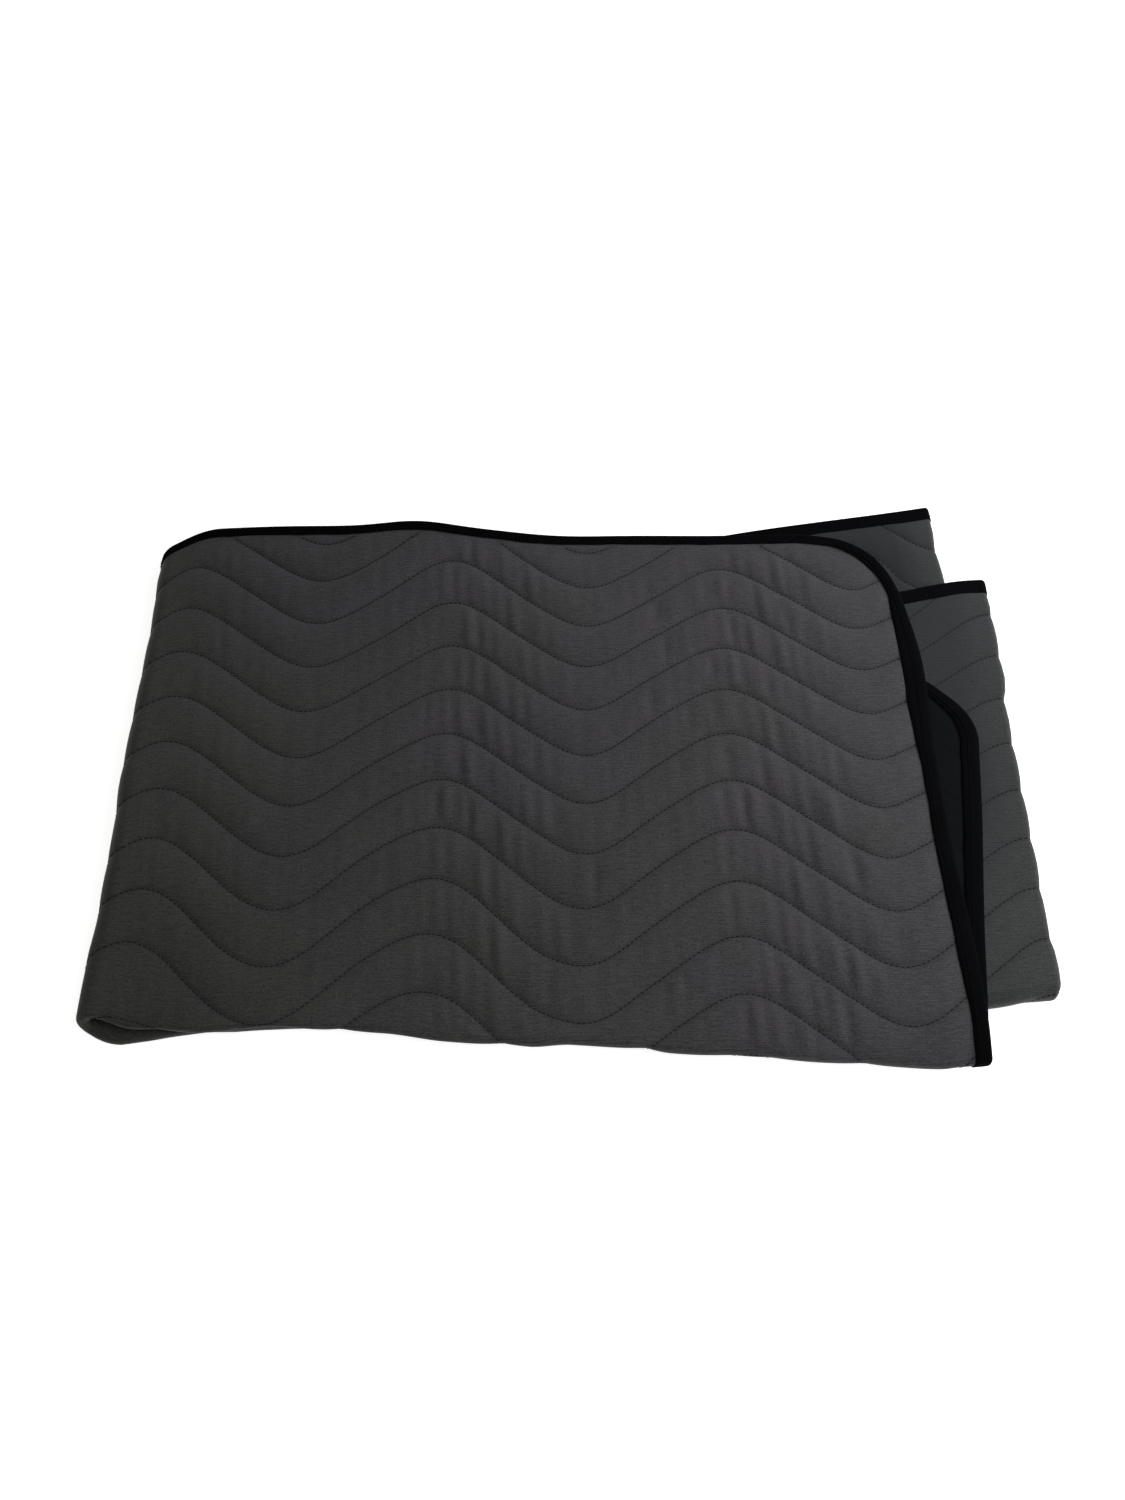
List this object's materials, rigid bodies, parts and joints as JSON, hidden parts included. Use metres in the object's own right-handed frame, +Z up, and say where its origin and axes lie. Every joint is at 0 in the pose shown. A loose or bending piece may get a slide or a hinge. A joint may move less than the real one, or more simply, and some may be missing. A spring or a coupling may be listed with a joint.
{
  "type": "folded quilted armchair cover",
  "caption": "Padded armchair cover with wavy quilting, a black backing and bound edges, folded flat in a loose stack of layers for storage.",
  "frame": {"origin": "centre of the folded cover's box, on the surface that it lies on", "axes": "+X along the folded cover's long side towards its open end, +Y from the folded front edge towards the bound back edge, +Z up"},
  "size_m": [0.8297, 0.5873, 0.0454],
  "materials": {
    "face_cloth": "matt ribbed knit, quilted",
    "backing_cloth": "matt plain cloth",
    "binding_tape": "matt woven tape"
  },
  "bodies": {
    "root": {"quilted_face": "face_cloth", "backing": "backing_cloth", "edge_binding": "binding_tape"}
  },
  "joints": []
}
